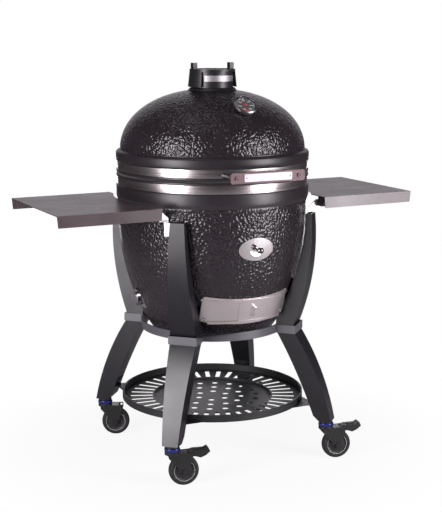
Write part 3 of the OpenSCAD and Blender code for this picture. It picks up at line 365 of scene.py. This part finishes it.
def from_node(node, name):
    """A merged copy of a solid's mesh, to be finished by hand."""
    obj = bpy.data.objects.new(name, nodes[node].data.copy())
    bpy.context.scene.collection.objects.link(obj)
    alone(obj)
    bpy.ops.mesh.customdata_custom_splitnormals_clear()
    start_edit(obj)
    bpy.ops.mesh.remove_doubles(threshold=2 * merge_gap)
    bpy.ops.mesh.dissolve_limited(angle_limit=math.radians(0.4))
    end_edit()
    return obj


def finish_piece(obj, material, *stands_for, body=None, slot=None):
    """Gives a piece its finish and the body it rides on, and hides the solids it stands for."""
    obj.data.materials.clear()
    obj.data.materials.append(material)
    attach(obj, body or body_of[stands_for[0]])
    if stands_for:
        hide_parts(*stands_for)


def edged(node, material, width, segments=2, slot=None):
    """A solid's shape with its edges rounded over."""
    obj = from_node(node, node + ".edged")
    round_edges(obj, width, segments)
    smooth(obj)
    flatten_shading(obj)
    finish_piece(obj, material, node, slot=slot)


# Finishes

def new_finish(name, colour, roughness, metallic=0.0):
    mat = bpy.data.materials.new(name)
    mat.use_nodes = True
    tree = mat.node_tree
    shader = tree.nodes["Principled BSDF"]
    shader.inputs["Base Color"].default_value = (*colour, 1)
    shader.inputs["Roughness"].default_value = roughness
    shader.inputs["Metallic"].default_value = metallic
    coords = tree.nodes.new("ShaderNodeTexCoord")
    return mat, tree, shader, coords.outputs["Object"]


def split_of(tree, vector):
    split = tree.nodes.new("ShaderNodeSeparateXYZ")
    tree.links.new(vector, split.inputs[0])
    return split.outputs


def stretched(tree, vector, scale):
    mapping = tree.nodes.new("ShaderNodeMapping")
    mapping.inputs["Scale"].default_value = scale
    tree.links.new(vector, mapping.inputs["Vector"])
    return mapping.outputs[0]


def noise_of(tree, vector, scale, detail=2.0, rough=0.5):
    noise = tree.nodes.new("ShaderNodeTexNoise")
    noise.inputs["Scale"].default_value = scale
    noise.inputs["Detail"].default_value = detail
    noise.inputs["Roughness"].default_value = rough
    tree.links.new(vector, noise.inputs["Vector"])
    return noise.outputs["Fac"]


def ranged(tree, value, low, high, to_low=0.0, to_high=1.0, soft=False):
    node = tree.nodes.new("ShaderNodeMapRange")
    if soft:
        node.interpolation_type = "SMOOTHSTEP"
    node.inputs["From Min"].default_value = low
    node.inputs["From Max"].default_value = high
    node.inputs["To Min"].default_value = to_low
    node.inputs["To Max"].default_value = to_high
    tree.links.new(value, node.inputs["Value"])
    return node.outputs[0]


def math_of(tree, operation, a, b):
    node = tree.nodes.new("ShaderNodeMath")
    node.operation = operation
    for socket, value in zip(node.inputs, (a, b)):
        if isinstance(value, (int, float)):
            socket.default_value = value
        else:
            tree.links.new(value, socket)
    return node.outputs[0]


def blended(tree, share, low, high):
    node = tree.nodes.new("ShaderNodeMix")
    node.data_type = "RGBA"
    node.inputs["A"].default_value = (*low, 1)
    node.inputs["B"].default_value = (*high, 1)
    tree.links.new(share, node.inputs["Factor"])
    return node.outputs["Result"]


def coloured(tree, shader, share, low, high):
    tree.links.new(blended(tree, share, low, high), shader.inputs["Base Color"])


def roughened(tree, shader, value, low, high, to_low, to_high):
    rough = ranged(tree, value, low, high, to_low, to_high)
    tree.links.new(rough, shader.inputs["Roughness"])


def bumped(tree, shader, height, distance, strength=1.0, under=None):
    bump = tree.nodes.new("ShaderNodeBump")
    bump.inputs["Distance"].default_value = distance
    bump.inputs["Strength"].default_value = strength
    tree.links.new(height, bump.inputs["Height"])
    if under is not None:
        tree.links.new(under, bump.inputs["Normal"])
    tree.links.new(bump.outputs[0], shader.inputs["Normal"])
    return bump.outputs[0]


def glazed_ceramic():
    """Dark glaze, finely wrinkled on dome and base and smooth on the two rims."""
    smooth_rough = 0.36
    wrinkled_rough = 0.155
    mat, tree, shader, place = new_finish("glazed_ceramic", (0.018, 0.015, 0.017), 0.3)
    height_z = split_of(tree, place)["Z"]
    above = ranged(tree, height_z, 1.064, 1.072, soft=True)
    below = ranged(tree, height_z, 0.901, 0.893, soft=True)
    wrinkled = math_of(tree, "MAXIMUM", above, below)
    wrinkles = noise_of(tree, place, 128, detail=0.4, rough=0.4)
    raised = math_of(tree, "MULTIPLY", wrinkles, wrinkled)
    peel = noise_of(tree, place, 420)
    first = bumped(tree, shader, peel, distance=0.00012, strength=0.5)
    bumped(tree, shader, raised, distance=0.0041, under=first)
    tone = noise_of(tree, place, 30, detail=3)
    coloured(tree, shader, tone, (0.015, 0.0118, 0.0145), (0.024, 0.0192, 0.023))
    roughened(tree, shader, wrinkled, 0, 1, smooth_rough, wrinkled_rough)
    return mat


def brushed_hoop():
    """Steel brushed along a hoop round the kettle's axis."""
    mat, tree, shader, place = new_finish("brushed_hoop", (0.62, 0.585, 0.56), 0.25, 1.0)
    split = split_of(tree, place)
    around = math_of(tree, "ARCTAN2", split["Y"], split["X"])
    join = tree.nodes.new("ShaderNodeCombineXYZ")
    tree.links.new(math_of(tree, "MULTIPLY", around, 1.2), join.inputs["X"])
    tree.links.new(math_of(tree, "MULTIPLY", split["Z"], 1600), join.inputs["Y"])
    streaks = noise_of(tree, join.outputs[0], 1.0, detail=4, rough=0.6)
    roughened(tree, shader, streaks, 0.3, 0.7, 0.2, 0.34)
    coloured(tree, shader, streaks, (0.52, 0.475, 0.47), (0.63, 0.58, 0.575))
    bumped(tree, shader, streaks, distance=0.00004, strength=0.5)
    return mat


def brushed_plate(name, dark, light, low, high):
    """Steel brushed along the plate, with its roughness between low and high."""
    mat, tree, shader, place = new_finish(name, light, low, 1.0)
    streaks = noise_of(tree, stretched(tree, place, (5, 5, 1400)), 1.0, detail=4, rough=0.6)
    cloud = noise_of(tree, place, 14)
    roughened(tree, shader, streaks, 0.3, 0.7, low, high)
    coloured(tree, shader, cloud, dark, light)
    bumped(tree, shader, streaks, distance=0.00004, strength=0.5)
    return mat


def polished_cover():
    """Satin plate of the feed cover, with its ball knob polished and given a darker colour as a
    painted reflection of the dark room.
    """
    knob_polish = 0.06
    mat, tree, shader, place = new_finish("cover_steel", (0.72, 0.68, 0.67), 0.14, 1.0)
    knob = ranged(tree, split_of(tree, place)["Y"], knob_from_y, knob_full_y, soft=True)
    streaks = noise_of(tree, stretched(tree, place, (5, 5, 1400)), 1.0, detail=3)
    satin = ranged(tree, streaks, 0.3, 0.7, 0.11, 0.17)
    rough = math_of(tree, "SUBTRACT", satin, math_of(tree, "MULTIPLY", knob, knob_polish))
    tree.links.new(rough, shader.inputs["Roughness"])
    # the knob's darker colour is a painted reflection of the dark room, not the colour of its
    # metal
    coloured(tree, shader, knob, (0.70, 0.665, 0.66), (0.20, 0.185, 0.182))
    return mat


def powder_coat(name, dark, light, roughness, grain=900, depth=0.00012, shine=0.5):
    """Paint with a fine grain and a slight cloud in its colour and roughness."""
    mat, tree, shader, place = new_finish(name, light, roughness)
    shader.inputs["Specular IOR Level"].default_value = shine
    fine = noise_of(tree, place, grain)
    cloud = noise_of(tree, place, 9, detail=3)
    coloured(tree, shader, cloud, dark, light)
    roughened(tree, shader, cloud, 0.25, 0.75, roughness - 0.04, roughness + 0.05)
    bumped(tree, shader, fine, depth, strength=0.6)
    return mat


def plain_metal(name, dark, light, roughness):
    mat, tree, shader, place = new_finish(name, light, roughness, 1.0)
    cloud = noise_of(tree, place, 60, detail=3)
    coloured(tree, shader, cloud, dark, light)
    roughened(tree, shader, cloud, 0.3, 0.7, roughness * 0.8, roughness * 1.2)
    return mat


def fired_clay():
    mat, tree, shader, place = new_finish("fired_clay", (0.42, 0.34, 0.27), 0.85)
    grit = noise_of(tree, place, 260, detail=4)
    cloud = noise_of(tree, place, 11, detail=4)
    coloured(tree, shader, cloud, (0.30, 0.24, 0.19), (0.5, 0.41, 0.33))
    bumped(tree, shader, grit, distance=0.0006, strength=0.7)
    return mat


def cast_iron():
    mat, tree, shader, place = new_finish("raw_iron", (0.04, 0.04, 0.042), 0.6, 0.4)
    grit = noise_of(tree, place, 500, detail=3)
    cloud = noise_of(tree, place, 25, detail=3)
    coloured(tree, shader, cloud, (0.025, 0.024, 0.024), (0.06, 0.056, 0.053))
    bumped(tree, shader, grit, distance=0.0004, strength=0.6)
    return mat


def felt():
    mat, tree, shader, place = new_finish("gasket_felt", (0.02, 0.02, 0.02), 0.95)
    fibres = noise_of(tree, stretched(tree, place, (1, 1, 2.5)), 700, detail=4, rough=0.7)
    coloured(tree, shader, fibres, (0.012, 0.012, 0.012), (0.045, 0.044, 0.043))
    shader.inputs["Sheen Weight"].default_value = 0.3
    bumped(tree, shader, fibres, distance=0.0006, strength=0.8)
    return mat


def rubber(name, dark, light, roughness):
    mat, tree, shader, place = new_finish(name, light, roughness)
    grain = noise_of(tree, place, 650, detail=3)
    coloured(tree, shader, grain, dark, light)
    bumped(tree, shader, grain, distance=0.0002, strength=0.5)
    return mat


def swivel_plastic():
    mat, tree, shader, place = new_finish("swivel_blue", (0.008, 0.014, 0.14), 0.22)
    cloud = noise_of(tree, place, 90)
    coloured(tree, shader, cloud, (0.006, 0.010, 0.10), (0.010, 0.018, 0.18))
    shader.inputs["Coat Weight"].default_value = 0.5
    shader.inputs["Coat Roughness"].default_value = 0.1
    return mat


def clear_glass():
    mat, tree, shader, place = new_finish("dial_glass", (0.96, 0.97, 0.98), 0.03)
    shader.inputs["Transmission Weight"].default_value = 1.0
    shader.inputs["IOR"].default_value = 1.3
    smear = noise_of(tree, place, 120)
    roughened(tree, shader, smear, 0.3, 0.8, 0.02, 0.06)
    return mat


ceramic = glazed_ceramic()
hoop_steel = brushed_hoop()
draft_steel = brushed_plate("draft_steel", (0.70, 0.645, 0.64), (0.80, 0.745, 0.74), 0.34, 0.48)
bar_steel = brushed_plate("bar_steel", (0.096, 0.068, 0.072), (0.124, 0.092, 0.096), 0.46, 0.56)
label_steel = brushed_plate("label_steel", (0.37, 0.345, 0.365), (0.43, 0.405, 0.425), 0.46, 0.56)
cover_steel = polished_cover()
hinge_steel = plain_metal("hinge_steel", (0.5, 0.49, 0.48), (0.62, 0.6, 0.59), 0.32)
grate_steel = plain_metal("grate_steel", (0.42, 0.41, 0.4), (0.58, 0.57, 0.56), 0.34)
screw_steel = plain_metal("screw_steel", (0.55, 0.55, 0.55), (0.68, 0.67, 0.66), 0.26)
chrome = plain_metal("fitting_chrome", (0.66, 0.66, 0.68), (0.8, 0.8, 0.82), 0.14)
plug_metal = plain_metal("plug_metal", (0.62, 0.59, 0.60), (0.74, 0.71, 0.72), 0.42)
case_steel = plain_metal("case_steel", (0.24, 0.235, 0.24), (0.34, 0.335, 0.34), 0.34)
zinc = plain_metal("bright_zinc", (0.62, 0.61, 0.62), (0.72, 0.71, 0.72), 0.42)
arm_paint = powder_coat(
    "arm_paint", (0.0085, 0.0082, 0.0105), (0.0120, 0.0115, 0.0145), 0.34, shine=0.42)
leg_paint = powder_coat(
    "leg_paint", (0.0075, 0.0072, 0.0092), (0.0110, 0.0105, 0.0133), 0.30, shine=0.60)
ring_paint = powder_coat(
    "ring_paint", (0.074, 0.073, 0.084), (0.090, 0.089, 0.100), 0.33, shine=0.8)
shelf_paint = powder_coat(
    "shelf_paint", (0.070, 0.051, 0.054), (0.082, 0.061, 0.065), 0.28, depth=0.00005, shine=0.6)
tray_paint = powder_coat("tray_paint", (0.012, 0.012, 0.013), (0.02, 0.02, 0.021), 0.48)
vent_enamel = powder_coat(
    "vent_enamel", (0.010, 0.010, 0.011), (0.016, 0.015, 0.016), 0.36, grain=600, depth=0.0001)
lug_paint = powder_coat("caster_black", (0.010, 0.010, 0.010), (0.018, 0.018, 0.018), 0.42)
post_paint = powder_coat("post_paint", (0.010, 0.009, 0.009), (0.02, 0.017, 0.016), 0.38)
hub_black = powder_coat("hub_black", (0.014, 0.013, 0.014), (0.022, 0.02, 0.022), 0.5, grain=700)
ring_grey = powder_coat("hub_ring_grey", (0.36, 0.36, 0.36), (0.46, 0.46, 0.46), 0.5)
dial_black = powder_coat(
    "dial_black", (0.01, 0.01, 0.012), (0.016, 0.016, 0.018), 0.45, grain=1200, depth=0.00004)
dial_white = powder_coat(
    "dial_white", (0.75, 0.75, 0.74), (0.85, 0.85, 0.84), 0.5, grain=1200, depth=0.00002)
needle_red = powder_coat(
    "needle_red", (0.5, 0.02, 0.03), (0.6, 0.03, 0.04), 0.4, grain=1200, depth=0.00002)
clay = fired_clay()
iron = cast_iron()
gasket_felt = felt()
tyre_rubber = rubber("tyre_rubber", (0.009, 0.009, 0.009), (0.02, 0.02, 0.02), 0.72)
pad_rubber = rubber("plug_rubber", (0.008, 0.008, 0.008), (0.018, 0.018, 0.018), 0.6)
blue = swivel_plastic()
glass = clear_glass()


# Ceramic dome and base

def dome_curve(r_from, wall, steps, low_z=dome_mid_z):
    """Points of the dome's curve from a height up to radius r_from."""
    r = dome_r - wall
    rise = dome_rise - wall
    start = math.asin(((low_z - dome_mid_z) / rise) ** (dome_power / 2))
    end = math.acos((r_from / r) ** (dome_power / 2))
    made = []
    for i in range(steps + 1):
        a = start + (end - start) * i / steps
        x = r * math.cos(a) ** (2 / dome_power)
        made.append((x, dome_mid_z + rise * math.sin(a) ** (2 / dome_power)))
    return made


def make_dome():
    round_off = 0.006
    bottom = seam_z + seam_to_ceramic
    top_of_band = up_band_z + band_h
    rim_high = top_of_band + dome_rim_h
    rim = [
        (dome_r - ceramic_wall, bottom),
        (lip_r, bottom),
        (lip_r, up_band_z),
        (groove_r, up_band_z),
        (groove_r, top_of_band),
        (rim_r - 0.002, top_of_band),
        (rim_r, top_of_band + round_off),
        (rim_r, rim_high - round_off),
        (rim_r - 0.003, rim_high),
    ]
    outer = dome_curve(vent_seat_r, 0, 64, rim_high + 0.004)
    inner = dome_curve(smoke_r, ceramic_wall, 40)
    profile = rim + outer + [(smoke_r, outer[-1][1])] + inner[::-1]
    dome = turned("dome_glaze", eased(profile, 0.003), kettle_steps)
    smooth(dome, 40)
    finish_piece(dome, ceramic, "dome_shell")


def base_curve(radius, depth, low_z, steps):
    """Points of the base's curve from its widest place down to a height."""
    end = math.asin((base_mid_z - low_z) / depth)
    made = []
    for i in range(steps + 1):
        a = end * i / steps
        made.append((radius * math.cos(a), base_mid_z - depth * math.sin(a)))
    return made


def make_base():
    floor_z = kettle_bottom_z + ceramic_wall
    top = seam_z - seam_to_ceramic
    rim_low = low_band_z - base_rim_h
    outer = base_curve(base_r, base_depth, kettle_bottom_z + 0.010, 56)[::-1]
    inner = base_curve(base_r - ceramic_wall, base_depth - ceramic_wall, floor_z, 40)
    foot = [(0, kettle_bottom_z), (outer[0][0] - 0.024, kettle_bottom_z)]
    rim = [
        (base_r, rim_low - 0.010),
        (rim_r - 0.001, rim_low - 0.002),
        (rim_r, rim_low + 0.004),
        (rim_r, low_band_z - 0.004),
        (rim_r - 0.002, low_band_z),
        (groove_r, low_band_z),
        (groove_r, low_band_z + band_h),
        (lip_r, low_band_z + band_h),
        (lip_r, top),
        (base_r - ceramic_wall, top),
    ]
    profile = foot + outer + rim + inner + [(0, floor_z)]
    base = turned("base_glaze", eased(profile, 0.003, closed=False), kettle_steps, closed=False)
    window_corners = [
        (0.18, window_low_z),
        (0.34, window_low_z),
        (0.34, window_high_z),
        (0.18, window_high_z),
    ]
    window = turned("window_cutter", window_corners, 16, angle=window_span)
    put(window, turn=(0, 0, math.radians(window_middle - window_span / 2 - 90)))
    cut_away(base, window)
    bore(base, feed_bore_r, 48, (0, -0.31, feed_z), (math.pi / 2, 0, 0))
    bore(base, port_bore_r, 40, (-0.25, 0, port_z), (0, math.pi / 2, 0))
    smooth(base, 40)
    finish_piece(base, ceramic, "base_shell")


def make_bands():
    inside = groove_r + 0.0001
    gap = 0.0002
    for node, band_z in (("lower_band", low_band_z), ("upper_band", up_band_z)):
        low = band_z + gap
        high = band_z + band_h - gap
        profile = [(inside, low), (band_r, low), (band_r, high), (inside, high)]
        band = turned(node + ".rolled", eased(profile, 0.0007), kettle_steps)
        smooth(band)
        finish_piece(band, hoop_steel, node)


def make_gaskets():
    below = seam_z - seam_to_ceramic
    above = seam_z + seam_to_felt
    for node, low in (("lower_gasket", below), ("upper_gasket", above)):
        high = low + gasket_t
        profile = [
            (gasket_in_r, low),
            (gasket_out_r, low),
            (gasket_out_r, high),
            (gasket_in_r, high),
        ]
        gasket = turned(node + ".felted", eased(profile, 0.001), 160)
        smooth(gasket)
        finish_piece(gasket, gasket_felt, node)


# Thermometer dial

def make_red_zone():
    """Red arc that marks the hot end of the dial's scale."""
    inside = 0.0225
    outside = 0.0310
    high = dial_arc_z + dial_mark_t
    profile = [(inside, dial_arc_z), (outside, dial_arc_z), (outside, high), (inside, high)]
    arc = turned("dial_red_zone", profile, 24, angle=70)
    put(arc, turn=(0, 0, math.radians(-75)))
    put(arc, dial_place, (dial_tilt, 0, 0))
    finish_piece(arc, needle_red, body="lid", slot=slot_of["dial_face"])


def on_dial(radius, angle):
    return (radius * math.cos(angle), radius * math.sin(angle), dial_marks_z)


def make_dial_marks():
    """Ring of tick marks and plain numbers on the dial."""
    ticks_r = 0.0315
    numbers_r = 0.0205
    scale_start = 240
    tick_step = 10
    ticks_per_number = 5
    number_step = 50
    numbers = 7
    marks = []
    for i in range(ticks_per_number * (numbers - 1) + 1):
        at_number = i % ticks_per_number == 0
        length = 0.0072 if at_number else 0.0042
        width = 0.0018 if at_number else 0.0009
        tick = new_block((length, width, dial_mark_t))
        angle = math.radians(scale_start - tick_step * i)
        put(tick, on_dial(ticks_r - length / 2, angle), (0, 0, angle))
        marks.append(tick)
    for i in range(numbers):
        angle = math.radians(scale_start - tick_step * ticks_per_number * i)
        bpy.ops.object.select_all(action="DESELECT")
        bpy.ops.object.text_add()
        number = bpy.context.object
        number.data.body = str(number_step * (i + 1))
        number.data.size = 0.0080
        number.data.align_x = "CENTER"
        number.data.align_y = "CENTER"
        bpy.ops.object.convert(target="MESH")
        put(number, on_dial(numbers_r, angle))
        marks.append(number)
    ring = joined("dial_marks", marks)
    put(ring, dial_place, (dial_tilt, 0, 0))
    finish_piece(ring, dial_white, body="lid", slot=slot_of["dial_face"])


# Casters

def caster_turn(corner):
    """Direction in which a caster trails, from the axis of its wheel."""
    axis = joint_of["spin_" + corner]["axis"]
    return math.atan2(-axis[0], axis[1])


def make_wheels():
    """Tyres, hubs and hub rings, from profiles of radius and place along the axle."""
    tyre_side = [
        (0.0500, 0.0040),
        (0.0494, 0.0085),
        (0.0480, 0.0125),
        (0.0455, 0.0150),
        (0.0430, 0.0160),
        (0.03705, 0.0160),
    ]
    hub_side = [
        (0.0051, 0.0170),
        (0.0140, 0.0170),
        (0.0155, 0.0125),
        (0.0290, 0.0115),
        (0.0325, 0.0140),
        (0.0370, 0.0140),
    ]
    ring_side = [(0.0338, 0.0141), (0.0356, 0.0141), (0.0352, 0.0147), (0.0342, 0.0147)]
    tyre_profile = [(r, -z) for r, z in tyre_side[::-1]] + tyre_side
    hub_profile = hub_side + [(r, -z) for r, z in hub_side[::-1]]
    for corner in corners:
        place = Vector(joint_of["spin_" + corner]["pos_m"])
        turn = (math.pi / 2, 0, caster_turn(corner))
        tyre = turned("tyre_" + corner + ".moulded", eased(tyre_profile, 0.0012), 72)
        put(tyre, place, turn)
        smooth(tyre)
        finish_piece(tyre, tyre_rubber, "tyre_" + corner)
        hub = turned("hub_" + corner + ".moulded", eased(hub_profile, 0.0012), 64)
        put(hub, place, turn)
        smooth(hub)
        finish_piece(hub, hub_black, "hub_" + corner)
        for side, sign in (("outer", 1), ("inner", -1)):
            ring_profile = [(r, sign * z) for r, z in ring_side]
            ring = turned("hub_ring_" + corner + "_" + side, ring_profile, 64)
            put(ring, place, turn)
            smooth(ring, 60)
            finish_piece(ring, ring_grey, body="wheel_" + corner, slot=slot_of["hub_" + corner])


def make_pedal_ribs(corner):
    """Grip ribs across the top of a brake pedal."""
    first_x = 0.016
    pitch = 0.0066
    rib_z = 0.0122
    ribs = []
    for i in range(5):
        rib = new_block((0.0026, 0.026, 0.0030))
        put(rib, (first_x + pitch * i, 0, rib_z))
        ribs.append(rib)
    obj = joined("pedal_ribs_" + corner, ribs)
    round_edges(obj, 0.0006)
    put(obj, joint_of["brake_" + corner]["pos_m"], (0, 0, caster_turn(corner)))
    smooth(obj)
    finish_piece(obj, lug_paint, body="pedal_" + corner, slot=slot_of["pedal_" + corner])


def make_casters():
    make_wheels()
    edged("swivel_rings", blue, 0.0025, segments=3)
    edged("caster_stems", lug_paint, 0.0010)
    for corner in corners:
        edged("fork_" + corner, lug_paint, 0.0012)
    for corner in braked_corners:
        edged("pedal_" + corner, lug_paint, 0.0020, segments=3)
        make_pedal_ribs(corner)


# Pieces that keep their solid's shape, with the edges rounded by the width given

def make_cart():
    for corner in corners:
        edged("arm_" + corner, arm_paint, 0.0013, segments=3)
        edged("leg_" + corner, leg_paint, 0.0013, segments=3)
    edged("ring_belt", ring_paint, 0.0009)
    edged("bottom_tray", tray_paint, 0.0008)
    edged("support_pads", pad_rubber, 0.0015)
    edged("shelf_brackets", zinc, 0.0007)
    edged("left_shelf", shelf_paint, 0.0011, segments=3)
    edged("right_shelf", shelf_paint, 0.0011, segments=3)
    edged("frame_screws", screw_steel, 0.0008)


def make_label_pins():
    """Two pins that hold the label plate on the handle."""
    pin_r = 0.0021
    profile = [(0, 0), (pin_r, 0), (pin_r, 0.0005), (0.0013, 0.0010), (0, 0.0011)]
    for side, x in (("left", -label_pin_x), ("right", label_pin_x)):
        pin = turned("label_pin_" + side, profile, 24)
        put(pin, (x, handle_face_y, handle_z), (math.pi / 2, 0, 0))
        smooth(pin, 50)
        finish_piece(pin, post_paint, body="lid", slot=slot_of["lid_screws"])


def make_lid_parts():
    edged("handle_bar", bar_steel, 0.0012, segments=3)
    edged("handle_posts", post_paint, 0.0010)
    edged("label_plates", label_steel, 0.0003)
    edged("lid_screws", bar_steel, 0.0008)
    edged("hinge_upper_bracket", hinge_steel, 0.0007)
    edged("thermometer_case", case_steel, 0.0006)
    edged("dial_face", dial_black, 0.0003)
    edged("dial_glass", glass, 0.0004)
    edged("needle", needle_red, 0.0002)
    edged("vent_drum", vent_enamel, 0.0010)
    edged("vent_cap", vent_enamel, 0.0012, segments=3)
    make_red_zone()
    make_dial_marks()
    make_label_pins()


def make_base_parts():
    edged("hinge_lower_bracket", hinge_steel, 0.0007)
    edged("hinge_pin", hinge_steel, 0.0010)
    edged("hinge_spring_case", lug_paint, 0.0015)
    edged("draft_frame", draft_steel, 0.0005)
    edged("draft_door", draft_steel, 0.0004)
    edged("feed_cover", cover_steel, 0.0006)
    edged("port_collar", chrome, 0.0008)
    edged("port_plug", plug_metal, 0.0010, slot=slot_of["port_collar"])
    edged("fire_box", clay, 0.0025)
    edged("fire_ring", clay, 0.0025)
    edged("charcoal_grate", iron, 0.0010)
    edged("cooking_grate", grate_steel, 0.0006)


set_camera()
set_floor()
set_world()
set_lights()
make_dome()
make_base()
make_bands()
make_gaskets()
make_lid_parts()
make_base_parts()
make_cart()
make_casters()

bpy.context.scene.view_settings.view_transform = "Standard"
